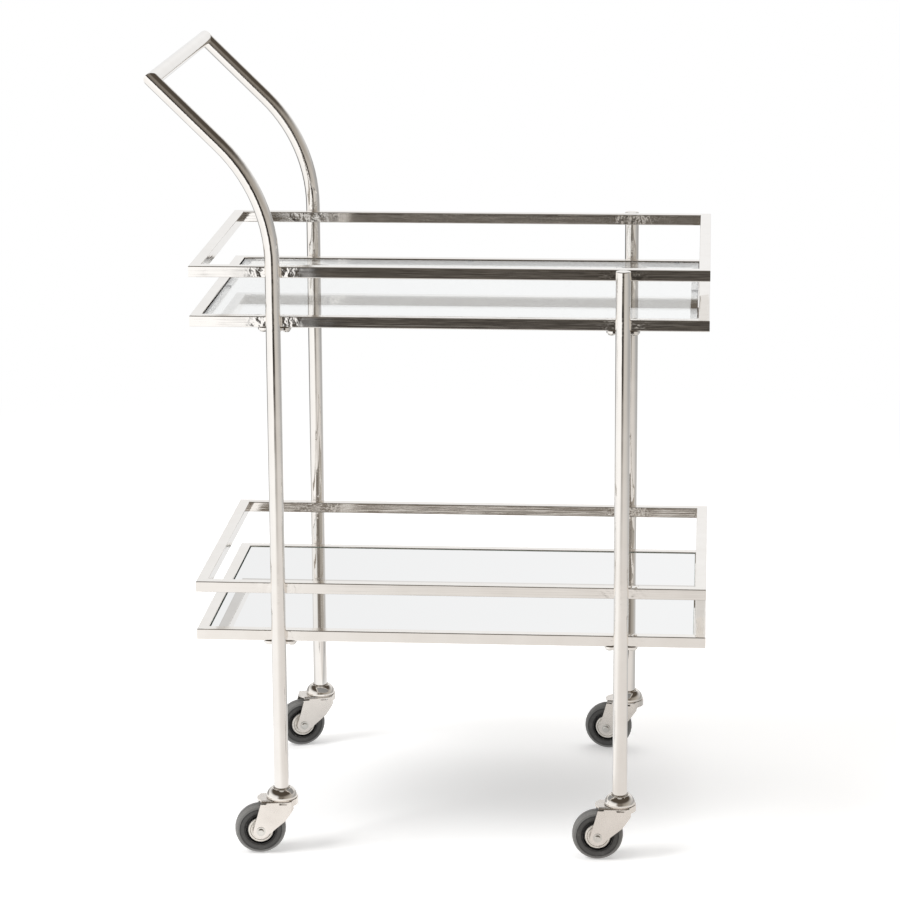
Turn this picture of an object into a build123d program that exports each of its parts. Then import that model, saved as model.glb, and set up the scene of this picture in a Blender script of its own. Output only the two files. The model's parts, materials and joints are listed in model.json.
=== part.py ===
from build123d import *
import math
import os

# Bar cart on four swivel casters. Millimetres, +Z up, floor at Z = 0.
# +X points away from the push handle, +Y to the left of a person pushing the cart.
# The origin lies on the floor under the middle of the cart's overall box.

# ---------- driving dimensions ----------
TUBE_OD = 16.0
TUBE_WALL = 1.5
BAR = 12.0                  # square tube of the shelf frames and galleries
BAR_WALL = 1.2
BAR_EDGE = 0.9              # outer edge radius of the square tube

SHELF_LENGTH = 556.0
SHELF_DEPTH = 356.0
POST_PITCH = 373.0          # between front and handle posts, along X
RAIL_TOPS = {
    "lower_shelf": 252.0,
    "lower_gallery": 306.0,
    "upper_shelf": 602.0,
    "upper_gallery": 656.0,
}

HANDLE_BEND_START = 660.0   # height where the handle posts leave the vertical
HANDLE_BEND_R = 178.0
HANDLE_ANGLE = 45.5
HANDLE_REACH = 123.5        # handle posts' axis to cross bar's axis, along X

GLASS_T = 5.0
GLASS_GAP = 1.2             # all round, between panel and frame
GLASS_DROP = 1.0            # panel surface below the frame's top
PAD_T = 0.8
PAD_D = 7.0
LEDGE_T = 2.0
LEDGE_W = 9.0

TAB_LENGTH = 36.0
TAB_WIDTH = 15.0
TAB_T = 3.0
TAB_SCREW_X = 12.5          # screw to post axis, along X
SCREW_R = 2.0
SCREW_HEAD_R = 4.2
SCREW_HEAD_H = 2.6
SCREW_REACH = 6.5           # shank above the tab's underside
THREAD_GAP = 0.05

WHEEL_R = 28.0
TREAD_W = 18.0
TRAIL = 24.0                # swivel axis to wheel axle
RIM_R = 17.5
RIM_W = 16.0
WALL_LINE_R = 23.0          # moulded line round the tyre's side wall
GROOVE_R = 14.0             # hub face edge, where the dark groove starts
HUB_W = 20.0
WEB_W = 6.0
BUSH_R = 5.0
BUSH_W = 25.2
AXLE_R = 3.0
BOLT_HEAD_R = 3.4
BOLT_FLANGE_R = 5.0
RUNNING_GAP = 0.05          # radial, on shafts that turn

FORK_T = 2.0
FORK_W = 30.0               # across the cheeks
FORK_TOP = 63.0
FORK_FRONT_R = 18.0
FORK_REAR_X = -27.0
FORK_BEND_R = 3.0
FORK_FOOT_R = 8.4           # round end of each cheek, about the axle
FORK_SKIRT = 7.0            # depth of the wall that closes the fork's front
SKIRT_FROM_X = 8.0
SLOT_LENGTH = 9.0
FORK_SLOTS = (              # place along X, height, width of each slot through the cheeks
    (-21.5, 59.8, 1.6),
    (0.8, 58.8, 2.2),
)
SWIVEL_REST = {             # degrees, each caster's own angle when the cart stands still
    "rear_left": 20.0,
    "rear_right": 9.0,
    "front_left": -9.0,
    "front_right": 2.0,
}

DOME_R = 17.0
DOME_BOTTOM = 63.4
DOME_TOP = 74.0
DOME_WALL = 2.4
DOME_CROWN_R = 10.6         # where the rolled top edge is highest
RECESS_R = 8.7
RECESS_FLOOR = 70.0
STEM_R = 5.0
STEM_HEAD_R = 8.0
STEM_TOP = 100.0
BALL_R = 1.7
BALL_RING_R = 11.0
BALL_COUNT = 12
POST_BOTTOM = 70.4
SOCKET_TOP = 104.0
CAP_T = 1.6
CAP_PLUG = 8.0

# ---------- places worked out from the dimensions ----------
TUBE_R = TUBE_OD / 2
BORE_R = TUBE_R - TUBE_WALL
HALF_L = SHELF_LENGTH / 2
HALF_D = SHELF_DEPTH / 2
HANDLE_END = POST_PITCH / 2 + HANDLE_REACH + TUBE_R
SHELF_X = (HANDLE_END - HALF_L) / 2          # shelves' middle, from the origin
REAR_X = SHELF_X - POST_PITCH / 2
FRONT_X = SHELF_X + POST_PITCH / 2
POST_Y = HALF_D + TUBE_R                      # posts stand against the side rails
SIDES = {"left": 1, "right": -1}
CORNERS = {
    "rear_left": (REAR_X, POST_Y),
    "rear_right": (REAR_X, -POST_Y),
    "front_left": (FRONT_X, POST_Y),
    "front_right": (FRONT_X, -POST_Y),
}

turn = math.radians(HANDLE_ANGLE)
BEND_END_X = REAR_X - HANDLE_BEND_R * (1 - math.cos(turn))
BEND_END_Z = HANDLE_BEND_START + HANDLE_BEND_R * math.sin(turn)
CROSS_X = REAR_X - HANDLE_REACH
CROSS_Z = BEND_END_Z + (BEND_END_X - CROSS_X) / math.tan(turn)

parts = {}


def cylinder(radius, z_low, z_high, x=0.0, y=0.0):
    """An upright cylinder between two heights."""
    height = z_high - z_low
    return Pos(x, y, z_low) * extrude(Circle(radius), height)


# ---------- shelf frames and galleries ----------
def square_tube(length):
    """A square tube along X, centred on the origin."""
    outer = RectangleRounded(BAR, BAR, BAR_EDGE)
    inner = Rectangle(BAR - 2 * BAR_WALL, BAR - 2 * BAR_WALL)
    return Plane.YZ * extrude(outer - inner, length / 2, both=True)


def mitred_rail(length):
    """A square tube along X whose outer face looks to -Y, mitred at both ends."""
    rail = square_tube(length)
    for end in (-1, 1):
        outer_corner = (end * length / 2, -BAR / 2, 0)
        cut = Plane(origin=outer_corner, z_dir=(end, 1, 0))
        rail = split(rail, bisect_by=cut, keep=Keep.BOTTOM)
    return rail


def make_rails():
    for level, top in RAIL_TOPS.items():
        z = top - BAR / 2
        side = mitred_rail(SHELF_LENGTH)
        end = mitred_rail(SHELF_DEPTH)
        offset_y = HALF_D - BAR / 2
        offset_x = HALF_L - BAR / 2
        rails = {
            "side_right": Pos(SHELF_X, -offset_y, z) * side,
            "side_left": Pos(SHELF_X, offset_y, z) * Rot(0, 0, 180) * side,
            "end_front": Pos(SHELF_X + offset_x, 0, z) * Rot(0, 0, 90) * end,
            "end_rear": Pos(SHELF_X - offset_x, 0, z) * Rot(0, 0, -90) * end,
        }
        for place, rail in rails.items():
            parts[f"{level}_{place}"] = rail


# ---------- posts and handle ----------
def tube_section():
    return Circle(TUBE_R) - Circle(BORE_R)


def make_handle():
    run = Vector(-math.sin(turn), 0, math.cos(turn))
    for name, side in SIDES.items():
        y = side * POST_Y
        low = Vector(REAR_X, y, POST_BOTTOM)
        bend_start = Vector(REAR_X, y, HANDLE_BEND_START)
        middle_x = REAR_X - HANDLE_BEND_R * (1 - math.cos(turn / 2))
        middle_z = HANDLE_BEND_START + HANDLE_BEND_R * math.sin(turn / 2)
        bend_end = Vector(BEND_END_X, y, BEND_END_Z)
        corner = Vector(CROSS_X, y, CROSS_Z)
        path = Wire([
            Edge.make_line(low, bend_start),
            Edge.make_three_point_arc(bend_start, Vector(middle_x, y, middle_z), bend_end),
            Edge.make_line(bend_end, corner + run * TUBE_OD),
        ])
        post = sweep(Plane(origin=low, z_dir=(0, 0, 1)) * tube_section(), path=path)
        mitre = Plane(origin=corner, z_dir=run - Vector(0, side, 0))
        parts[f"handle_post_{name}"] = split(post, bisect_by=mitre, keep=Keep.BOTTOM)

    bar = Plane(origin=(CROSS_X, 0, CROSS_Z), z_dir=(0, 1, 0))
    bar = bar * extrude(tube_section(), POST_Y + TUBE_OD, both=True)
    for side in SIDES.values():
        corner = Vector(CROSS_X, side * POST_Y, CROSS_Z)
        mitre = Plane(origin=corner, z_dir=run - Vector(0, side, 0))
        bar = split(bar, bisect_by=mitre, keep=Keep.TOP)
    parts["handle_cross_bar"] = bar


def make_front_posts():
    top = RAIL_TOPS["upper_gallery"] - CAP_T
    caps = []
    for name, side in SIDES.items():
        tube = extrude(tube_section(), top - POST_BOTTOM)
        parts[f"front_post_{name}"] = Pos(FRONT_X, side * POST_Y, POST_BOTTOM) * tube
        cap = cylinder(TUBE_R, top, top + CAP_T)
        cap = fillet(cap.edges().group_by(Axis.Z)[-1], CAP_T * 0.6)
        cap += cylinder(BORE_R - THREAD_GAP, top - CAP_PLUG, top)
        caps.append(Pos(FRONT_X, side * POST_Y, 0) * cap)
    parts["front_post_caps"] = caps


# ---------- glass panels and what holds them ----------
def make_panels():
    inner_l = SHELF_LENGTH - 2 * BAR
    inner_d = SHELF_DEPTH - 2 * BAR
    pads = []
    for level, panel_name in (("upper", "upper_glass_panel"), ("lower", "lower_mirror_panel")):
        top = RAIL_TOPS[f"{level}_shelf"] - GLASS_DROP
        panel = Box(inner_l - 2 * GLASS_GAP, inner_d - 2 * GLASS_GAP, GLASS_T)
        panel = chamfer(panel.edges(), 0.4)
        parts[panel_name] = Pos(SHELF_X, 0, top - GLASS_T / 2) * panel

        ledge_top = top - GLASS_T - PAD_T
        ledge_z = ledge_top - LEDGE_T / 2
        strips = []
        for side in (-1, 1):
            y = side * (inner_d - LEDGE_W) / 2
            strips.append(Pos(SHELF_X, y, ledge_z) * Box(inner_l, LEDGE_W, LEDGE_T))
            x = side * (inner_l - LEDGE_W) / 2
            short = inner_d - 2 * LEDGE_W
            strips.append(Pos(SHELF_X + x, 0, ledge_z) * Box(LEDGE_W, short, LEDGE_T))
            for share in (-0.45, 0, 0.45):
                pad_y = side * (inner_d / 2 - LEDGE_W * 0.55)
                pad = cylinder(PAD_D / 2, ledge_top, ledge_top + PAD_T)
                pads.append(Pos(SHELF_X + share * inner_l, pad_y, 0) * pad)
            pad_x = SHELF_X + side * (inner_l / 2 - LEDGE_W * 0.55)
            pads.append(cylinder(PAD_D / 2, ledge_top, ledge_top + PAD_T, pad_x, 0))
        parts[f"{level}_glass_ledges"] = strips
    parts["glass_pads"] = pads


# ---------- mounting tabs and their screws ----------
def tab_screw():
    """A dome-head screw whose head's flat is at Z = 0 and whose shank points up."""
    head = Pos(0, 0, -SCREW_HEAD_H) * extrude(Circle(SCREW_HEAD_R), SCREW_HEAD_H)
    head = fillet(head.edges().group_by(Axis.Z)[0], SCREW_HEAD_H * 0.8)
    hexagon = Pos(0, 0, -SCREW_HEAD_H) * extrude(RegularPolygon(1.5, 6), 1.2)
    return head - hexagon + cylinder(SCREW_R - THREAD_GAP, 0, SCREW_REACH)


def make_tabs():
    tabs = []
    screws = []
    for level in ("lower_shelf", "upper_shelf"):
        top = RAIL_TOPS[level] - BAR
        for x, y in CORNERS.values():
            side = math.copysign(1, y)
            tab_y = side * (HALF_D - BAR + TAB_WIDTH / 2)
            tab = extrude(SlotOverall(TAB_LENGTH, TAB_WIDTH), TAB_T)
            tab = fillet(tab.edges().group_by(Axis.Z)[0], 0.8)
            tab = Pos(x, tab_y, top - TAB_T) * tab
            tab -= cylinder(TUBE_R, top - 2 * TAB_T, top + TAB_T, x, y)
            rail = f"{level}_side_{'left' if side > 0 else 'right'}"
            screw_y = side * (HALF_D - BAR / 2)
            for direction in (-1, 1):
                screw_x = x + direction * TAB_SCREW_X
                hole = cylinder(SCREW_R, top - 2 * TAB_T, top + BAR_WALL * 2, screw_x, screw_y)
                tab -= hole
                parts[rail] = parts[rail] - hole
                screws.append(Pos(screw_x, screw_y, top - TAB_T) * tab_screw())
            tabs.append(tab)
    parts["mounting_tabs"] = tabs
    parts["shelf_screws"] = screws


# ---------- caster mountings on the posts ----------
def dome():
    """The fixed cover over the swivel bearing, with a recess that the post's end sits in."""
    with BuildPart() as cover:
        with BuildSketch(Plane.XZ):
            with BuildLine():
                Polyline(
                    (STEM_R, RECESS_FLOOR),
                    (STEM_R, RECESS_FLOOR - DOME_WALL),
                    (BALL_RING_R + DOME_WALL, RECESS_FLOOR - DOME_WALL),
                    (BALL_RING_R + DOME_WALL, DOME_BOTTOM),
                    (DOME_R, DOME_BOTTOM),
                )
                Line((DOME_R, DOME_BOTTOM), (DOME_R, DOME_BOTTOM + 2))
                ThreePointArc(
                    (DOME_R, DOME_BOTTOM + 2),
                    (DOME_R - 1.9, DOME_BOTTOM + 6.6),
                    (DOME_CROWN_R + 1.0, DOME_TOP - 0.5),
                )
                ThreePointArc(
                    (DOME_CROWN_R + 1.0, DOME_TOP - 0.5),
                    (DOME_CROWN_R - 0.4, DOME_TOP),
                    (RECESS_R, DOME_TOP - 1.6),
                )
                Polyline((RECESS_R, DOME_TOP - 1.6), (RECESS_R, RECESS_FLOOR), (STEM_R, RECESS_FLOOR))
            make_face()
        revolve(axis=Axis.Z)
    return cover.part


def make_caster_mountings():
    sockets = []
    stems = []
    domes = []
    balls = []
    head_top = FORK_TOP - FORK_T - 0.3
    for x, y in CORNERS.values():
        place = Pos(x, y, 0)
        socket = cylinder(BORE_R - THREAD_GAP, POST_BOTTOM, SOCKET_TOP)
        sockets.append(place * (socket - cylinder(STEM_R, 0, STEM_TOP + 0.5)))
        stem = cylinder(STEM_R - THREAD_GAP, head_top, STEM_TOP)
        stem += cylinder(STEM_HEAD_R, head_top - 2.2, head_top)
        stems.append(place * stem)
        domes.append(place * dome())
        for step in range(BALL_COUNT):
            around = Rot(0, 0, step * 360 / BALL_COUNT)
            ball_z = DOME_BOTTOM - 0.1 + BALL_R
            balls.append(place * around * Pos(BALL_RING_R, 0, ball_z) * Sphere(BALL_R))
    parts["caster_sockets"] = sockets
    parts["caster_stems"] = stems
    parts["caster_domes"] = domes
    parts["swivel_bearing_balls"] = balls


# ---------- one caster, about its swivel axis, trailing towards -X ----------
def tangent_point(centre, radius, point, side):
    """Where the line from a point touches a circle, on the left (1) or right (-1)."""
    dx = point[0] - centre[0]
    dz = point[1] - centre[1]
    angle = math.atan2(dz, dx) + side * math.acos(radius / math.hypot(dx, dz))
    return (centre[0] + radius * math.cos(angle), centre[1] + radius * math.sin(angle))


def cheek_outline():
    """Side view of a cheek: wide at the top plate, tapering to a round end on the axle."""
    axle = (-TRAIL, WHEEL_R)
    top_rear = (-TRAIL + 1.2, FORK_TOP)
    top_front = (FORK_FRONT_R, FORK_TOP)
    front_edge = (FORK_FRONT_R - 1.0, FORK_TOP - 4.0)
    knee = (TRAIL * 0.12, WHEEL_R + 11.0)
    outline = Polygon(
        tangent_point(axle, FORK_FOOT_R, top_rear, 1),
        top_rear,
        top_front,
        front_edge,
        knee,
        tangent_point(axle, FORK_FOOT_R, knee, -1),
        axle,
        align=None,
    )
    return outline + Pos(*axle) * Circle(FORK_FOOT_R)


def make_fork():
    """The pressed-steel fork: a U channel cut to its top and side outlines."""
    length = 2 * (FORK_FRONT_R - FORK_REAR_X)
    floor = FORK_TOP - BAR * 4
    channel = Rectangle(FORK_W, FORK_TOP - floor, align=(Align.CENTER, Align.MAX))
    channel = fillet(channel.vertices().group_by(Axis.Y)[-1], FORK_BEND_R)
    hollow = Rectangle(FORK_W - 2 * FORK_T, FORK_TOP - floor, align=(Align.CENTER, Align.MAX))
    hollow = fillet(hollow.vertices().group_by(Axis.Y)[-1], FORK_BEND_R - FORK_T)
    channel = channel - Pos(0, -FORK_T) * hollow
    channel = Plane.YZ * extrude(channel, length, both=True)

    rear_r = FORK_W / 2
    rear_centre = FORK_REAR_X + rear_r
    front = Circle(FORK_FRONT_R) + Pos(rear_centre / 2, 0) * Rectangle(-rear_centre, FORK_W)
    top_outline = front + Pos(rear_centre, 0) * Circle(rear_r)
    side_outline = front + Pos(-TRAIL, 0) * Rectangle(2 * TRAIL, FORK_W)
    top = Pos(0, 0, FORK_TOP - FORK_T) * extrude(top_outline, FORK_T)
    sides = Pos(0, 0, floor) * extrude(side_outline, FORK_TOP - floor)
    cheeks = Plane.XZ * extrude(cheek_outline(), FORK_W, both=True)
    folded = Pos(0, 0, FORK_TOP) * channel
    body = (folded & top) + (folded & sides & cheeks)

    skirt_r = FORK_FRONT_R - FORK_T
    skirt = cylinder(FORK_FRONT_R, FORK_TOP - FORK_SKIRT, FORK_TOP - FORK_T)
    skirt -= cylinder(skirt_r, 0, FORK_TOP)
    front = Box(FORK_FRONT_R, FORK_W, FORK_TOP, align=(Align.MIN, Align.CENTER, Align.MIN))
    body += skirt & (Pos(SKIRT_FROM_X, 0, 0) * front)

    body -= cylinder(STEM_R, 0, FORK_TOP + 1)
    axle_hole = Plane.XZ * extrude(Circle(AXLE_R + THREAD_GAP), FORK_W, both=True)
    body -= Pos(-TRAIL, 0, WHEEL_R) * axle_hole
    for slot_x, slot_z, slot_h in FORK_SLOTS:
        slot = Plane.XZ * extrude(SlotOverall(SLOT_LENGTH, slot_h), FORK_W, both=True)
        body -= Pos(slot_x, 0, slot_z) * slot
    return body


def wheel_ring(points):
    """A ring turned about the axle, from (radius, sideways) points of one half, mirrored."""
    with BuildPart() as ring:
        with BuildSketch(Plane.XY):
            with BuildLine():
                Polyline(*points)
                mirror(about=Plane.XZ)
            make_face()
        revolve(axis=Axis.Y)
    return Pos(-TRAIL, 0, WHEEL_R) * ring.part


def make_tyre():
    half = TREAD_W / 2
    with BuildPart() as tyre:
        with BuildSketch(Plane.XY):
            with BuildLine():
                Polyline(
                    (RIM_R, 0),
                    (RIM_R, half - 1.4),
                    (RIM_R + 1.2, half - 0.5),
                    (WALL_LINE_R - 0.5, half),
                    (WALL_LINE_R, half - 0.5),
                    (WALL_LINE_R + 0.5, half),
                )
                ThreePointArc(
                    (WALL_LINE_R + 0.5, half), (WHEEL_R - 1.9, half - 1.8), (WHEEL_R - 0.4, half - 4.5)
                )
                ThreePointArc((WHEEL_R - 0.4, half - 4.5), (WHEEL_R - 0.1, half * 0.25), (WHEEL_R, 0))
                mirror(about=Plane.XZ)
            make_face()
        revolve(axis=Axis.Y)
    return Pos(-TRAIL, 0, WHEEL_R) * tyre.part


def make_hub():
    bore = BUSH_R + THREAD_GAP / 2
    face = HUB_W / 2
    return wheel_ring([
        (bore, 0),
        (bore, face),
        (8.0, face),
        (8.4, face - 0.5),
        (8.8, face - 0.1),
        (11.0, face - 0.1),
        (11.4, face - 0.6),
        (11.8, face - 0.2),
        (GROOVE_R - 0.8, face - 0.3),
        (GROOVE_R, face - 1.1),
        (GROOVE_R, WEB_W / 2),
        (RIM_R - 1.2, WEB_W / 2),
        (RIM_R - 1.2, RIM_W / 2),
        (RIM_R, RIM_W / 2),
        (RIM_R, 0),
    ])


def across(radius, y_low, y_high):
    """A cylinder along the axle between two sideways places."""
    middle = (y_low + y_high) / 2
    solid = Plane.XZ * extrude(Circle(radius), (y_high - y_low) / 2, both=True)
    return Pos(-TRAIL, middle, WHEEL_R) * solid


def make_axle_bolt():
    outer = FORK_W / 2
    head = across(BOLT_HEAD_R, -outer - 2.6, -outer - 0.8)
    head = fillet(head.edges().group_by(Axis.Y)[0], 1.2)
    bolt = head + across(BOLT_FLANGE_R, -outer - 0.8, -outer)
    return bolt + across(AXLE_R, -outer, outer + 3.0)


def make_axle_nut():
    outer = FORK_W / 2
    nut = Plane.XZ * extrude(RegularPolygon(5.0, 6), 1.6, both=True)
    nut = Pos(-TRAIL, outer + 1.6, WHEEL_R) * nut
    return nut - across(AXLE_R + THREAD_GAP / 2, outer - 1, outer + 4)


def make_casters():
    bush = across(BUSH_R, -BUSH_W / 2, BUSH_W / 2)
    bush -= across(AXLE_R + RUNNING_GAP, -FORK_W, FORK_W)
    pieces = {
        "fork": make_fork(),
        "axle_bolt": make_axle_bolt(),
        "axle_nut": make_axle_nut(),
        "tyre": make_tyre(),
        "wheel_hub": make_hub(),
        "wheel_bush": bush,
    }
    for corner, (x, y) in CORNERS.items():
        for piece, shape in pieces.items():
            place = Pos(x, y, 0) * Rot(0, 0, SWIVEL_REST[corner])
            parts[f"{corner}_{piece}"] = place * shape


make_rails()
make_handle()
make_front_posts()
make_panels()
make_tabs()
make_caster_mountings()
make_casters()

os.makedirs("parts", exist_ok=True)
for node, shape in parts.items():
    if isinstance(shape, list):
        shape = Compound(children=shape)
    export_step(shape, f"parts/{node}.step")
print(f"{len(parts)} nodes, shelves' middle at X = {SHELF_X:.2f}")
print(f"cross bar at X = {CROSS_X:.2f}, Z = {CROSS_Z:.2f}")
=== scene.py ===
import json
import math

import bmesh
import bpy
from mathutils import Matrix, Vector


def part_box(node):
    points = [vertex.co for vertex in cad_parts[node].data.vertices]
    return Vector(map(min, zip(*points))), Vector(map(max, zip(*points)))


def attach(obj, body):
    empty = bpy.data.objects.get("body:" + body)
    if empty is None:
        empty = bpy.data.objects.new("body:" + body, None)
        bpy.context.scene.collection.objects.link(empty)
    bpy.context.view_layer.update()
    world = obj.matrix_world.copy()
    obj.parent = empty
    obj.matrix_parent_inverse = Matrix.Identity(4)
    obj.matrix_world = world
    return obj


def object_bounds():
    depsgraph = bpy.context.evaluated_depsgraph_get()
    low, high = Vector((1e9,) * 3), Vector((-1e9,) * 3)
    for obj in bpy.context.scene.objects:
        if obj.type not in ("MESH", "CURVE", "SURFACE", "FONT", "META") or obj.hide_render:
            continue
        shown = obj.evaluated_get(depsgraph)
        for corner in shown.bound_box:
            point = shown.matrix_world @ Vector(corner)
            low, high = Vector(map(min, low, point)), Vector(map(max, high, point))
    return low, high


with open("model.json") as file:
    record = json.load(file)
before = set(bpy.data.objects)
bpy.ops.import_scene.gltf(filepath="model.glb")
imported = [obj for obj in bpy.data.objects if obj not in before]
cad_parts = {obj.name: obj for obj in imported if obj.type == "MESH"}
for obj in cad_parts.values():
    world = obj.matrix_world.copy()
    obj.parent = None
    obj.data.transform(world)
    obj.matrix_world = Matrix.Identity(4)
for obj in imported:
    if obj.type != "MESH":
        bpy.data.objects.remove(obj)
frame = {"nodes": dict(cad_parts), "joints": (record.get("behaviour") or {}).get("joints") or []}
cad_low, cad_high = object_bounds()
nodes = frame["nodes"]
joints = {joint["name"]: joint for joint in frame["joints"]}
scene = bpy.context.scene

CORNERS = ("rear_left", "rear_right", "front_left", "front_right")
RAILS = ("lower_shelf", "lower_gallery", "upper_shelf", "upper_gallery")

# ---------- camera ----------
CAMERA_AZIMUTH = math.radians(4.5202)
CAMERA_ELEVATION = math.radians(13.7968)
CAMERA_ROLL = math.radians(-0.3163)
CAMERA_DISTANCE = 3.7636
CAMERA_LENS = 133.2
CAMERA_SENSOR = 36.0
CLIP_NEAR = 0.05
CLIP_FAR = 200.0
AIM_OFFSET = Vector((0.00734, 0.0, -0.0183))     # from the middle of the cart's box


def make_camera():
    """The camera, at the picture's viewing angle."""
    a, e, r = CAMERA_AZIMUTH, CAMERA_ELEVATION, CAMERA_ROLL
    forward = Vector((-math.sin(a) * math.cos(e), math.cos(a) * math.cos(e), -math.sin(e)))
    right = Vector((math.cos(a), math.sin(a), 0.0))
    up = right.cross(forward)
    x_axis = right * math.cos(r) + up * math.sin(r)
    y_axis = up * math.cos(r) - right * math.sin(r)
    aim = (cad_low + cad_high) / 2 + AIM_OFFSET
    place = aim - forward * CAMERA_DISTANCE
    turn = Matrix((x_axis, y_axis, -forward)).transposed()
    data = bpy.data.cameras.new("camera")
    data.lens = CAMERA_LENS
    data.sensor_width = CAMERA_SENSOR
    data.clip_start = CLIP_NEAR
    data.clip_end = CLIP_FAR
    camera = bpy.data.objects.new("camera", data)
    scene.collection.objects.link(camera)
    camera.matrix_world = Matrix.Translation(place) @ turn.to_4x4()
    scene.camera = camera


# ---------- node helpers ----------
def add(tree, kind, inputs=None, **settings):
    """A node with its settings, and its sockets set to values or joined to other sockets."""
    made = tree.nodes.new(kind)
    for key, value in settings.items():
        setattr(made, key, value)
    for key, value in (inputs or {}).items():
        if isinstance(value, bpy.types.NodeSocket):
            tree.links.new(value, made.inputs[key])
        else:
            made.inputs[key].default_value = value
    return made


def maths(tree, operation, *values):
    """The result socket of a maths node."""
    return add(tree, "ShaderNodeMath", dict(enumerate(values)), operation=operation).outputs[0]


def ramp(tree, source, stops):
    """A colour ramp over source. stops are (place, grey or colour)."""
    made = add(tree, "ShaderNodeValToRGB", {"Fac": source})
    elements = made.color_ramp.elements
    while len(elements) > 1:
        elements.remove(elements[-1])
    for index, (place, colour) in enumerate(stops):
        element = elements[0] if index == 0 else elements.new(place)
        element.position = place
        if isinstance(colour, (int, float)):
            colour = (colour, colour, colour)
        element.color = (*colour, 1.0)
    return made.outputs["Color"]


def mix_colour(tree, factor, first, second):
    """The colour between two colours or colour sockets."""
    made = add(tree, "ShaderNodeMix", data_type="RGBA")
    for index, value in ((0, factor), (6, first), (7, second)):
        if isinstance(value, bpy.types.NodeSocket):
            tree.links.new(value, made.inputs[index])
        else:
            made.inputs[index].default_value = value if index == 0 else (*value, 1.0)
    return made.outputs[2]


def remap(tree, source, low, high, to_low, to_high, smooth=False):
    """source, stretched from low..high to to_low..to_high and held at the ends."""
    made = add(tree, "ShaderNodeMapRange", {0: source, 1: low, 2: high, 3: to_low, 4: to_high})
    if smooth:
        made.interpolation_type = "SMOOTHSTEP"
    return made.outputs[0]


def noise(tree, vector, scale, detail=3.0, roughness=0.5):
    """A noise value from 0 to 1, with about scale patches a metre."""
    inputs = {"Vector": vector, "Scale": scale, "Detail": detail, "Roughness": roughness}
    return add(tree, "ShaderNodeTexNoise", inputs).outputs[0]


def stretched(tree, vector, scale):
    """Coordinates scaled apart along the three axes."""
    return add(tree, "ShaderNodeMapping", {"Vector": vector, "Scale": scale}).outputs[0]


def bump(tree, height, distance, before=None):
    """A bump normal, distance metres deep, on top of an earlier one."""
    inputs = {"Height": height, "Distance": distance, "Strength": 1.0}
    if before is not None:
        inputs["Normal"] = before
    return add(tree, "ShaderNodeBump", inputs).outputs[0]


def start_material(name):
    """An empty material: itself, its tree, its principled shader and its object coordinates."""
    material = bpy.data.materials.new(name)
    material.use_nodes = True
    tree = material.node_tree
    tree.nodes.clear()
    shader = add(tree, "ShaderNodeBsdfPrincipled")
    output = add(tree, "ShaderNodeOutputMaterial")
    tree.links.new(shader.outputs[0], output.inputs[0])
    place = add(tree, "ShaderNodeTexCoord").outputs["Object"]
    return material, tree, shader, place


# ---------- studio ----------
# The camera sees a white studio and a pale floor. Polished metal reflects a studio of light
# and dark sides instead, fixed in the room: the world's walls and ceiling, and a painted glow
# of light and dark tones on the floor. Its tones are given by direction from the cart, in degrees
# off -Y towards +X: a dark gap where the camera stands, bright panels to its left and grey ones to its
# right.
WORLD_LOW = (
    (-180, 0.95),
    (-159, 0.85),
    (-150, 0.15),
    (-122, 0.20),
    (-108, 1.10),
    (-12, 1.15),
    (-9, (0.045, 0.040, 0.035)),
    (15, (0.040, 0.035, 0.030)),
    (21, (0.46, 0.43, 0.39)),
    (60, (0.60, 0.57, 0.53)),
    (95, 0.45),
    (132, 0.40),
    (150, 0.30),
    (162, 0.90),
    (180, 0.95),
)
WORLD_MIDDLE = (
    (-180, 0.97),
    (-130, 0.75),
    (-100, 1.05),
    (-30, 1.0),
    (-12, (0.22, 0.195, 0.165)),
    (18, (0.20, 0.175, 0.150)),
    (35, (0.36, 0.33, 0.29)),
    (80, (0.50, 0.47, 0.43)),
    (120, 0.60),
    (150, 0.85),
    (180, 0.97),
)
FLOOR_FAR = (
    (-180, 0.95),
    (-162, 0.60),
    (-150, 0.13),
    (-122, 0.18),
    (-106, 1.05),
    (-11, 1.15),
    (-9.4, 0.0),
    (14, 0.0),
    (20, (0.52, 0.49, 0.45)),
    (32, (0.66, 0.63, 0.59)),
    (62, (0.62, 0.60, 0.57)),
    (88, 0.45),
    (135, 0.38),
    (158, 0.75),
    (180, 0.95),
)
FLOOR_NEAR = (
    (-180, 0.92),
    (-150, 0.66),
    (-125, 0.72),
    (-98, 1.05),
    (-30, (1.08, 1.065, 1.05)),
    (-5, (0.88, 0.855, 0.83)),
    (20, (0.82, 0.79, 0.765)),
    (85, (0.80, 0.775, 0.75)),
    (122, 0.52),
    (150, 0.70),
    (180, 0.92),
)
# The least light on the far floor, by share of the way from GAP_START to GAP_END metres out.
GAP_START = 2.0
GAP_END = 5.0
FLOOR_GAP = (
    (0.0, (0.16, 0.145, 0.125)),
    (0.28, (0.050, 0.045, 0.040)),
    (0.38, (0.045, 0.040, 0.035)),
    (0.46, (0.150, 0.135, 0.118)),
    (0.60, (0.125, 0.112, 0.098)),
    (0.80, (0.045, 0.040, 0.035)),
)
CEILING = (0.085, 0.070, 0.055)
OVERHEAD = (0.62, 0.61, 0.59)
WHITE = (1.0, 1.0, 1.0)
# Heights, in degrees over the horizon, between which one zone of the walls turns into the next.
TO_MIDDLE = (3, 12)
TO_CEILING = (20, 42)
TO_OVERHEAD = (74, 82)
# Distances from the cart, in metres, between which near floor turns into far floor.
TO_FAR_FLOOR = (1.15, 2.6)      # in reflections
TO_WHITE_FLOOR = (1.0, 2.2)     # as the camera sees it
FLOOR_HALF = 14.0
FLOOR_SQUARES = 28
FLOOR_PAINT = 0.86
FLOOR_GLOW = 0.36


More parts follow.
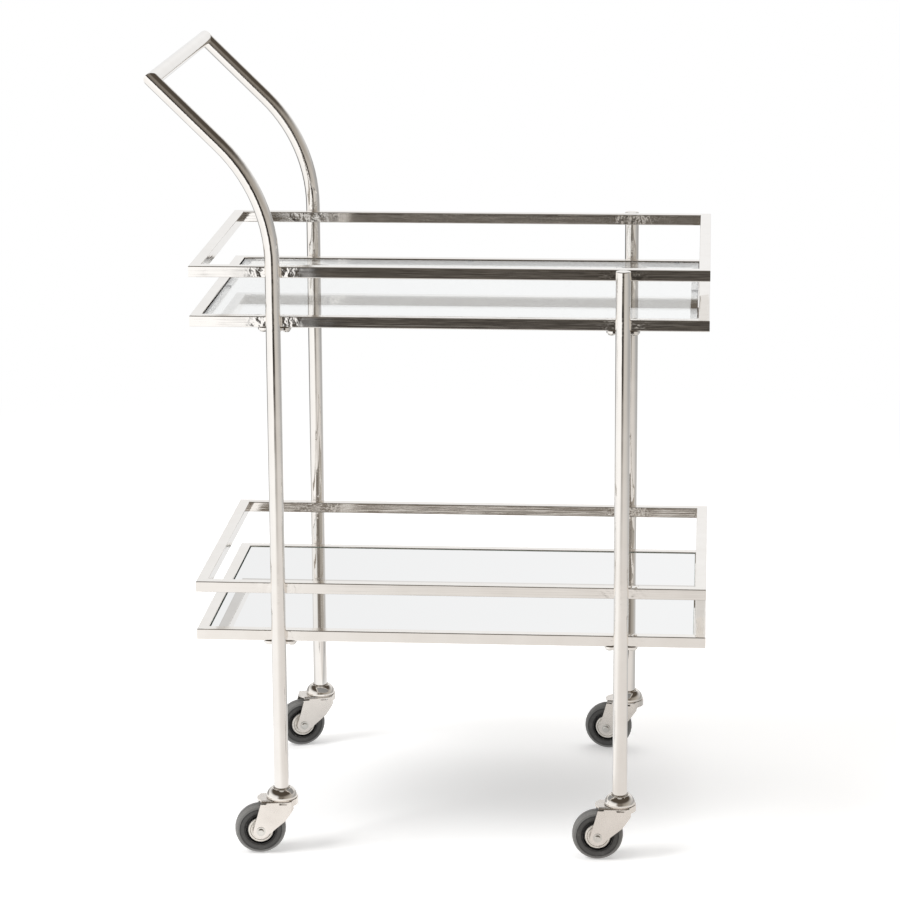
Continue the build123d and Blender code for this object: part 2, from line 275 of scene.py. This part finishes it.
def azimuth_of(tree, x, y):
    """0 to 1 round the cart: 0.5 towards -Y, 0.75 towards +X, 0.25 towards -X."""
    angle = maths(tree, "ARCTAN2", x, maths(tree, "MULTIPLY", y, -1.0))
    return maths(tree, "MULTIPLY_ADD", angle, 0.5 / math.pi, 0.5)


def round_the_cart(tree, around, stops):
    """The tone for each direction. stops are (degrees off -Y towards +X, tone)."""
    return ramp(tree, around, [(angle / 360.0 + 0.5, tone) for angle, tone in stops])


def seen_straight(tree):
    """1 for rays from the camera that have met nothing, or only glass, on their way."""
    rays = add(tree, "ShaderNodeLightPath").outputs
    bounced = maths(tree, "ADD", rays["Glossy Depth"], rays["Diffuse Depth"])
    clean = maths(tree, "LESS_THAN", bounced, 0.5)
    through = maths(tree, "MULTIPLY", rays["Is Transmission Ray"], clean)
    return maths(tree, "MAXIMUM", rays["Is Camera Ray"], through)


def make_world():
    """The studio's walls and ceiling for reflections, and plain white for the camera."""
    world = bpy.data.worlds.new("studio")
    world.use_nodes = True
    scene.world = world
    tree = world.node_tree
    tree.nodes.clear()
    direction = add(tree, "ShaderNodeTexCoord").outputs["Generated"]
    parts = add(tree, "ShaderNodeSeparateXYZ", {0: direction}).outputs
    around = azimuth_of(tree, parts[0], parts[1])
    height = maths(tree, "MULTIPLY", maths(tree, "ARCSINE", parts[2]), 2.0 / math.pi)

    def above(zone):
        """0 below a zone of heights, 1 above it."""
        return remap(tree, height, zone[0] / 90, zone[1] / 90, 0.0, 1.0, smooth=True)

    low = round_the_cart(tree, around, WORLD_LOW)
    middle = round_the_cart(tree, around, WORLD_MIDDLE)
    studio = mix_colour(tree, above(TO_MIDDLE), low, middle)
    studio = mix_colour(tree, above(TO_CEILING), studio, CEILING)
    studio = mix_colour(tree, above(TO_OVERHEAD), studio, OVERHEAD)
    seen = mix_colour(tree, seen_straight(tree), studio, WHITE)
    background = add(tree, "ShaderNodeBackground", {"Color": seen, "Strength": 1.0})
    output = add(tree, "ShaderNodeOutputWorld")
    tree.links.new(background.outputs[0], output.inputs[0])


def make_floor_finish():
    """Pale paint with an even glow near the cart and glowing white further off, as the camera sees it;
    seen in reflections, a glow painted with the studio's light and dark tones.
    """
    material = bpy.data.materials.new("studio_floor")
    material.use_nodes = True
    tree = material.node_tree
    tree.nodes.clear()
    place = add(tree, "ShaderNodeNewGeometry").outputs["Position"]
    parts = add(tree, "ShaderNodeSeparateXYZ", {0: place}).outputs
    around = azimuth_of(tree, parts[0], parts[1])
    radius = add(tree, "ShaderNodeVectorMath", {0: place}, operation="LENGTH").outputs[1]

    near_by = round_the_cart(tree, around, FLOOR_NEAR)
    far = round_the_cart(tree, around, FLOOR_FAR)
    gap = ramp(tree, remap(tree, radius, GAP_START, GAP_END, 0.0, 1.0), FLOOR_GAP)
    lighter = {0: 1.0, 6: far, 7: gap}
    far = add(tree, "ShaderNodeMix", lighter, data_type="RGBA", blend_type="LIGHTEN").outputs[2]
    away = remap(tree, radius, *TO_FAR_FLOOR, 0.0, 1.0)
    lit = mix_colour(tree, away, near_by, far)
    # Seen in reflections, the floor glows with these painted light and dark tones, standing in for the
    # studio.
    painted_reflection_glow = add(tree, "ShaderNodeEmission", {"Color": lit, "Strength": 1.0})

    paint_colour = (FLOOR_PAINT, FLOOR_PAINT, FLOOR_PAINT, 1.0)
    paint = add(tree, "ShaderNodeBsdfDiffuse", {"Color": paint_colour})
    glow = add(tree, "ShaderNodeEmission", {"Color": (*WHITE, 1.0), "Strength": FLOOR_GLOW})
    near = add(tree, "ShaderNodeAddShader", {0: paint.outputs[0], 1: glow.outputs[0]})
    white = add(tree, "ShaderNodeEmission", {"Color": (*WHITE, 1.0), "Strength": 1.0})
    beyond = remap(tree, radius, *TO_WHITE_FLOOR, 0.0, 1.0, smooth=True)
    seen = add(tree, "ShaderNodeMixShader", {0: beyond, 1: near.outputs[0], 2: white.outputs[0]})

    choice = {0: seen_straight(tree), 1: painted_reflection_glow.outputs[0], 2: seen.outputs[0]}
    both = add(tree, "ShaderNodeMixShader", choice)
    output = add(tree, "ShaderNodeOutputMaterial")
    tree.links.new(both.outputs[0], output.inputs[0])
    return material


def make_floor():
    """A flat pale floor, level with the bottom of the wheels."""
    mesh = bpy.data.meshes.new("studio_floor")
    made = bmesh.new()
    bmesh.ops.create_grid(
        made, x_segments=FLOOR_SQUARES, y_segments=FLOOR_SQUARES, size=FLOOR_HALF
    )
    made.to_mesh(mesh)
    made.free()
    floor = bpy.data.objects.new("studio_floor", mesh)
    scene.collection.objects.link(floor)
    floor.data.materials.append(make_floor_finish())


# A key lamp from the left casts the soft shadows, and a wide one overhead fills them.
LAMPS = (
    {"name": "key_lamp", "place": (-2.6, -1.5, 3.0), "aim": (0.0, 0.0, 0.2), "size": 1.7, "power": 100.0},
    {"name": "fill_lamp", "place": (0.6, 0.4, 4.2), "aim": (0.0, 0.0, 0.0), "size": 4.5, "power": 120.0},
)


def make_lamp(name, place, aim, size, power):
    """A soft square lamp, not seen in reflections."""
    data = bpy.data.lights.new(name, "AREA")
    data.shape = "SQUARE"
    data.size = size
    data.energy = power
    lamp = bpy.data.objects.new(name, data)
    scene.collection.objects.link(lamp)
    lamp.location = place
    lamp.rotation_euler = (Vector(aim) - Vector(place)).to_track_quat("-Z", "Y").to_euler()
    lamp.visible_glossy = False
    lamp.visible_camera = False
    lamp.visible_transmission = False


# ---------- metals ----------
NICKEL_LIGHT = (0.90, 0.872, 0.838)
NICKEL_DARK = (0.86, 0.828, 0.79)
LINE_STRETCH = 0.012          # a polishing line's width over its length
LINE_DEPTH = 0.00009
WELD_REACH = 0.034            # how far along a rail the surface is lumpy from a joint
POST_WELD_REACH = 0.7         # the same along a post, as a share of that
WELD_CORE = 0.4               # the share of the reach that is lumpy in full
RAIL_LUMP_DEPTH = 0.0005
POST_LUMP_DEPTH = 0.00022


def near_places(tree, value, places, reach):
    """1 where value is at one of the places, falling to 0 beyond reach."""
    total = None
    for place in places:
        apart = maths(tree, "ABSOLUTE", maths(tree, "SUBTRACT", value, place))
        share = remap(tree, apart, reach * WELD_CORE, reach, 1.0, 0.0, smooth=True)
        total = share if total is None else maths(tree, "MAXIMUM", total, share)
    return total


def make_metal(name, light, dark, rough, rough_spread, wave, grain, bar=None, welds=None):
    """Plated metal: cloudy colour, smears in the polish, slow waves and fine grain in its surface.

    wave and grain are depths in metres. bar is the axis, 0 to 2, that polishing lines follow.
    welds is (axis, places, reach, depth): the surface is lumpy near those places along that axis.
    """
    material, tree, shader, place = start_material(name)
    cloud = noise(tree, place, scale=38.0, detail=4.0)
    smear = noise(tree, place, scale=130.0, detail=5.0, roughness=0.6)
    colour = mix_colour(tree, remap(tree, cloud, 0.3, 0.7, 0.0, 1.0), light, dark)
    tree.links.new(colour, shader.inputs["Base Color"])
    shader.inputs["Metallic"].default_value = 1.0
    polish = maths(tree, "MULTIPLY_ADD", smear, rough_spread, rough - rough_spread / 2)
    tree.links.new(polish, shader.inputs["Roughness"])
    normal = bump(tree, noise(tree, place, scale=30.0, detail=1.0), wave)
    normal = bump(tree, noise(tree, place, scale=900.0), grain, before=normal)
    if bar is not None:
        scale = [1.0, 1.0, 1.0]
        scale[bar] = LINE_STRETCH
        lines = noise(tree, stretched(tree, place, scale), scale=420.0, roughness=0.6)
        normal = bump(tree, lines, LINE_DEPTH, before=normal)
    if welds is not None:
        axis, places, reach, depth = welds
        along = add(tree, "ShaderNodeSeparateXYZ", {0: place}).outputs[axis]
        share = near_places(tree, along, places, reach)
        lumps = maths(tree, "SUBTRACT", noise(tree, place, scale=115.0, detail=2.0), 0.5)
        normal = bump(tree, maths(tree, "MULTIPLY", lumps, share), depth, before=normal)
    tree.links.new(normal, shader.inputs["Normal"])
    return material


def post_lines():
    """The posts' radius, and the X of the rear and front posts at the rails."""
    front_low, front_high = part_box("front_post_left")
    tube_r = (front_high.x - front_low.x) / 2
    rear_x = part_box("handle_post_left")[1].x - tube_r
    return tube_r, rear_x, (front_low.x + front_high.x) / 2


def make_nickels():
    """Polished nickel for the side rails, the end rails, the posts and everything else."""
    _, rear_x, front_x = post_lines()
    heights = [sum(corner.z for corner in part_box(f"{rail}_side_left")) / 2 for rail in RAILS]
    finish = {
        "light": NICKEL_LIGHT,
        "dark": NICKEL_DARK,
        "rough": 0.035,
        "rough_spread": 0.03,
        "wave": 0.00022,
        "grain": 0.000003,
    }
    at_posts = (0, (rear_x, front_x), WELD_REACH, RAIL_LUMP_DEPTH)
    at_rails = (2, heights, WELD_REACH * POST_WELD_REACH, POST_LUMP_DEPTH)
    return {
        "side": make_metal("nickel_side_rail", **finish, bar=0, welds=at_posts),
        "end": make_metal("nickel_end_rail", **finish, bar=1),
        "post": make_metal("nickel_post", **finish, bar=2, welds=at_rails),
        "plain": make_metal("nickel_plain", **finish),
    }


def nickel_for(name):
    """The kind of nickel finish of a CAD node."""
    if "_side_" in name:
        return "side"
    if "_end_" in name:
        return "end"
    if "post_left" in name or "post_right" in name:
        return "post"
    return "plain"


# ---------- glass ----------
GLASS_IOR = 1.5


def make_clear_glass():
    """Clear float glass, faintly tinted, with a trace of dust."""
    material, tree, shader, place = start_material("float_glass_clear")
    dust = noise(tree, place, scale=420.0, detail=6.0, roughness=0.7)
    film = noise(tree, place, scale=7.0)
    colour = mix_colour(tree, film, (0.94, 0.95, 0.95), (0.925, 0.94, 0.94))
    tree.links.new(colour, shader.inputs["Base Color"])
    tree.links.new(remap(tree, dust, 0.55, 0.8, 0.0, 0.03), shader.inputs["Roughness"])
    shader.inputs["IOR"].default_value = GLASS_IOR
    shader.inputs["Transmission Weight"].default_value = 1.0
    return material


def make_mirror_glass():
    """Silvered glass: a cool mirror on top, green cut edges, grey backing paint below."""
    material, tree, shader, place = start_material("float_glass_mirror")
    facing = add(tree, "ShaderNodeTexCoord").outputs["Normal"]
    up = add(tree, "ShaderNodeSeparateXYZ", {0: facing}).outputs[2]
    is_top = remap(tree, up, 0.6, 0.9, 0.0, 1.0)
    is_back = remap(tree, up, -0.9, -0.6, 1.0, 0.0)
    film = noise(tree, place, scale=6.0)
    dust = noise(tree, place, scale=380.0, detail=6.0, roughness=0.7)
    silver = mix_colour(tree, film, (0.922, 0.925, 0.928), (0.904, 0.910, 0.912))
    edge_cloud = noise(tree, place, scale=260.0)
    edge = mix_colour(tree, edge_cloud, (0.16, 0.36, 0.29), (0.24, 0.46, 0.38))
    back_cloud = noise(tree, place, scale=90.0, detail=5.0)
    back = mix_colour(tree, back_cloud, (0.30, 0.31, 0.32), (0.36, 0.37, 0.38))
    colour = mix_colour(tree, is_top, edge, silver)
    colour = mix_colour(tree, is_back, colour, back)
    tree.links.new(colour, shader.inputs["Base Color"])
    tree.links.new(is_top, shader.inputs["Metallic"])
    polish = remap(tree, dust, 0.6, 0.85, 0.004, 0.035)
    rough = maths(tree, "MULTIPLY_ADD", is_back, 0.5, polish)
    tree.links.new(rough, shader.inputs["Roughness"])
    return material


# ---------- wheels ----------
# Tones from the middle outwards, by share of the way between two radii in metres; near-black where tyre
# and hub meet, painted shade in the groove between them.
TYRE_RADII = (0.013, 0.0285)
TYRE_TONES = (
    # near-black: painted shade in the groove by the hub
    (0.0, (0.008, 0.008, 0.008)),
    (0.27, (0.010, 0.010, 0.010)),
    (0.33, (0.095, 0.094, 0.090)),
    (0.60, (0.115, 0.114, 0.109)),
    (0.64, (0.03, 0.03, 0.03)),
    (0.68, (0.19, 0.189, 0.183)),
    (0.86, (0.26, 0.257, 0.247)),
    (1.0, (0.24, 0.236, 0.226)),
)
HUB_RADII = (0.0, 0.0175)
HUB_TONES = (
    (0.0, (0.78, 0.74, 0.68)),
    (0.46, (0.82, 0.78, 0.72)),
    (0.49, (0.40, 0.37, 0.33)),
    (0.52, (0.88, 0.84, 0.78)),
    (0.62, (0.90, 0.86, 0.80)),
    (0.65, (0.42, 0.39, 0.35)),
    (0.68, (0.90, 0.86, 0.80)),
    (0.77, (0.84, 0.80, 0.74)),
    # near-black: painted shade in the groove by the tyre
    (0.81, (0.05, 0.05, 0.05)),
    (1.0, (0.02, 0.02, 0.02)),
)
RUBBER_IOR = 1.5
RUBBER_DARK = (0.035, 0.035, 0.035)
RUBBER_SPECK = (0.03, 0.03, 0.032)
RUBBER_DUST = (0.24, 0.235, 0.225)
MOULD_RING_STRETCH = 6.0
HUB_DIRT = (0.30, 0.28, 0.25)
HUB_METALLIC = 0.55
TURNED_RING_PITCH = 0.0011


def across_wheel(tree, place, centre, axle):
    """Distance from the axle line, and distance along it, at each point of a wheel."""
    offset = add(tree, "ShaderNodeVectorMath", {0: place, 1: centre}, operation="SUBTRACT").outputs[0]
    along = add(tree, "ShaderNodeVectorMath", {0: offset, 1: axle}, operation="DOT_PRODUCT").outputs[1]
    length = add(tree, "ShaderNodeVectorMath", {0: offset}, operation="LENGTH").outputs[1]
    length_squared = maths(tree, "MULTIPLY", length, length)
    along_squared = maths(tree, "MULTIPLY", along, along)
    square = maths(tree, "SUBTRACT", length_squared, along_squared)
    radius = maths(tree, "SQRT", maths(tree, "MAXIMUM", square, 0.0))
    return radius, along


def make_tyre_rubber(corner, centre, axle):
    """Grey rubber: near-black painted shade in the groove by the hub, darker side walls, lighter towards
    the shoulder and a dusty tread.
    """
    material, tree, shader, place = start_material(f"tyre_rubber_{corner}")
    radius, along = across_wheel(tree, place, centre, axle)
    base = ramp(tree, remap(tree, radius, *TYRE_RADII, 0.0, 1.0), TYRE_TONES)
    out = maths(tree, "MULTIPLY", radius, MOULD_RING_STRETCH)
    turned = add(tree, "ShaderNodeCombineXYZ", {0: out, 1: along}).outputs[0]
    rings = noise(tree, turned, scale=260.0)
    base = mix_colour(tree, remap(tree, rings, 0.4, 0.7, 0.0, 0.6), base, RUBBER_DARK)
    speck = noise(tree, place, scale=700.0, detail=4.0, roughness=0.65)
    scuff = noise(tree, place, scale=160.0, detail=5.0, roughness=0.6)
    dusty = mix_colour(tree, remap(tree, scuff, 0.52, 0.78, 0.0, 0.45), base, RUBBER_DUST)
    colour = mix_colour(tree, remap(tree, speck, 0.35, 0.75, 0.0, 0.35), dusty, RUBBER_SPECK)
    tree.links.new(colour, shader.inputs["Base Color"])
    tree.links.new(remap(tree, scuff, 0.3, 0.7, 0.38, 0.62), shader.inputs["Roughness"])
    shader.inputs["IOR"].default_value = RUBBER_IOR
    normal = bump(tree, scuff, 0.00025)
    normal = bump(tree, speck, 0.00012, before=normal)
    tree.links.new(normal, shader.inputs["Normal"])
    return material


def make_hub_face(corner, centre, axle):
    """Pale nickel-grey hub, with turned rings, patches of dirt and near-black painted shade towards its
    groove.
    """
    material, tree, shader, place = start_material(f"hub_face_{corner}")
    radius, _ = across_wheel(tree, place, centre, axle)
    base = ramp(tree, remap(tree, radius, *HUB_RADII, 0.0, 1.0), HUB_TONES)
    dirt = noise(tree, place, scale=300.0, detail=5.0, roughness=0.6)
    colour = mix_colour(tree, remap(tree, dirt, 0.5, 0.8, 0.0, 0.4), base, HUB_DIRT)
    tree.links.new(colour, shader.inputs["Base Color"])
    shader.inputs["Metallic"].default_value = HUB_METALLIC
    tree.links.new(remap(tree, dirt, 0.3, 0.7, 0.22, 0.42), shader.inputs["Roughness"])
    rings = maths(tree, "SINE", maths(tree, "MULTIPLY", radius, 2 * math.pi / TURNED_RING_PITCH))
    normal = bump(tree, rings, 0.00004)
    normal = bump(tree, dirt, 0.00008, before=normal)
    tree.links.new(normal, shader.inputs["Normal"])
    return material


# ---------- plastic and rubber ----------
MOTTLE_ROUGH = 0.08           # how far the mottle moves the roughness each way


def make_plastic(name, light, dark, rough, grain):
    """Moulded plastic or rubber, slightly mottled."""
    material, tree, shader, place = start_material(name)
    mottle = noise(tree, place, scale=260.0, detail=4.0)
    tree.links.new(mix_colour(tree, mottle, light, dark), shader.inputs["Base Color"])
    polish = remap(tree, mottle, 0.3, 0.7, rough - MOTTLE_ROUGH, rough + MOTTLE_ROUGH)
    tree.links.new(polish, shader.inputs["Roughness"])
    fine = noise(tree, place, scale=1500.0, detail=2.0)
    tree.links.new(bump(tree, fine, grain), shader.inputs["Normal"])
    return material


# ---------- finishes on the CAD nodes ----------
def make_slot_finishes():
    """The finish for each material slot, apart from polished nickel, tyres and hubs."""
    return {
        "caster_nickel": make_metal(
            "nickel_dome",
            light=(0.86, 0.82, 0.77),
            dark=(0.80, 0.755, 0.70),
            rough=0.045,
            rough_spread=0.03,
            wave=0.00012,
            grain=0.000004,
        ),
        "caster_steel": make_metal(
            "steel_pressed",
            light=(0.88, 0.835, 0.785),
            dark=(0.80, 0.755, 0.705),
            rough=0.26,
            rough_spread=0.14,
            wave=0.0003,
            grain=0.00002,
        ),
        "fastener_steel": make_metal(
            "steel_fastener",
            light=(0.80, 0.78, 0.74),
            dark=(0.66, 0.64, 0.60),
            rough=0.20,
            rough_spread=0.12,
            wave=0.0001,
            grain=0.00001,
        ),
        "bearing_steel": make_metal(
            "steel_bearing",
            light=(0.62, 0.61, 0.60),
            dark=(0.50, 0.49, 0.48),
            rough=0.24,
            rough_spread=0.12,
            wave=0.0001,
            grain=0.00001,
        ),
        "clear_glass": make_clear_glass(),
        "mirror_glass": make_mirror_glass(),
        "bush_plastic": make_plastic(
            "nylon_bush", light=(0.66, 0.64, 0.58), dark=(0.58, 0.56, 0.50), rough=0.45, grain=0.00002
        ),
        "pad_rubber": make_plastic(
            "pad_rubber", light=(0.10, 0.10, 0.10), dark=(0.07, 0.07, 0.07), rough=0.7, grain=0.00003
        ),
    }


def make_wheel_finishes():
    """The finish for each tyre and hub node, centred on its own axle."""
    finishes = {}
    for corner in CORNERS:
        low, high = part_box(f"{corner}_wheel_hub")
        centre = (low + high) / 2
        axle = Vector(joints[f"{corner}_spin"]["axis"]).normalized()
        finishes[f"{corner}_tyre"] = make_tyre_rubber(corner, centre, axle)
        finishes[f"{corner}_wheel_hub"] = make_hub_face(corner, centre, axle)
    return finishes


def dress_cad(nickels):
    """Gives every CAD node its finished material."""
    for_slot = make_slot_finishes()
    for_node = make_wheel_finishes()
    for name, obj in nodes.items():
        slot_name = obj.data.materials[0].name
        if slot_name == "polished_nickel":
            finish = nickels[nickel_for(name)]
        else:
            finish = for_node.get(name) or for_slot[slot_name]
        obj.material_slots[0].link = "OBJECT"
        obj.material_slots[0].material = finish


# ---------- brazed fillets ----------
FILLET_R = 0.0011
FILLET_STEPS = 7              # faces across a fillet's curve
FILLET_LAYERS = 15            # faces along it
SINK = 0.00005                # how far a fillet's back lies inside the rail's face
RIPPLE = 0.00016
RIPPLE_RATE = 21.0            # radians of ripple along one fillet
RIPPLE_SHIFT = 900.0          # radians of shift a metre, so that the posts differ
SIDE_SHIFT = 2.0              # radians of shift each way, so that the cart's sides differ
END_SHARE = 0.04              # the share of a fillet at each end that tapers no further
END_SIZE = 0.55               # the size that the taper runs down to, as a share of the full size
TAPER_POWER = 0.35            # below 1, the taper keeps to the ends


def fillet_section(tube_r, fillet_r):
    """Points of a fillet's curved face, in the gap between a round post and a flat rail.

    The post's middle is at (0, tube_r) and the rail's face lies along the first axis.
    """
    reach = 2.0 * math.sqrt(tube_r * fillet_r)
    start = -math.pi / 2
    to_post = math.atan2(tube_r - fillet_r, -reach)
    end = to_post - 2.0 * math.pi if to_post > 0 else to_post
    points = []
    for i in range(FILLET_STEPS + 1):
        angle = start + (end - start) * i / FILLET_STEPS
        points.append((reach + fillet_r * math.cos(angle), fillet_r + fillet_r * math.sin(angle)))
    return points


def add_fillet(made, tube_r, post_x, side, hand, face_y, z_low, z_high):
    """One closed strip of weld metal, its curved face outwards, its back on the post and rail."""
    rows = []
    for layer in range(FILLET_LAYERS + 1):
        share = layer / FILLET_LAYERS
        z = z_low + (z_high - z_low) * share
        taper = math.sin(math.pi * min(max(share, END_SHARE), 1.0 - END_SHARE)) ** TAPER_POWER
        phase = share * RIPPLE_RATE + post_x * RIPPLE_SHIFT + side * SIDE_SHIFT + hand
        radius = (FILLET_R + RIPPLE * math.sin(phase)) * (END_SIZE + (1.0 - END_SIZE) * taper)
        section = [(0.0, SINK)] + fillet_section(tube_r, radius)
        rows.append([
            made.verts.new((post_x + hand * u, side * (face_y - SINK + v), z)) for u, v in section
        ])
    count = len(rows[0])
    for one, two in zip(rows, rows[1:]):
        for k in range(count):
            made.faces.new((one[k], one[(k + 1) % count], two[(k + 1) % count], two[k]))
    made.faces.new(rows[0])
    made.faces.new(list(reversed(rows[-1])))


def make_welds(material):
    """Brazed fillets where every post meets every rail, slightly rippled as a torch leaves them."""
    made = bmesh.new()
    tube_r, rear_x, front_x = post_lines()
    for rail in RAILS:
        low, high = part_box(f"{rail}_side_left")
        for post_x in (rear_x, front_x):
            for side in (1.0, -1.0):
                for hand in (1.0, -1.0):
                    add_fillet(made, tube_r, post_x, side, hand, high.y, low.z, high.z)
    bmesh.ops.recalc_face_normals(made, faces=made.faces)
    for face in made.faces:
        face.smooth = True
    mesh = bpy.data.meshes.new("post_weld_fillets")
    made.to_mesh(mesh)
    made.free()
    mesh.materials.append(material)
    piece = bpy.data.objects.new("post_weld_fillets", mesh)
    scene.collection.objects.link(piece)
    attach(piece, "frame")


make_camera()
make_world()
make_floor()
for lamp_settings in LAMPS:
    make_lamp(**lamp_settings)
nickel_finishes = make_nickels()
dress_cad(nickel_finishes)
make_welds(nickel_finishes["plain"])
scene.view_settings.view_transform = "Standard"
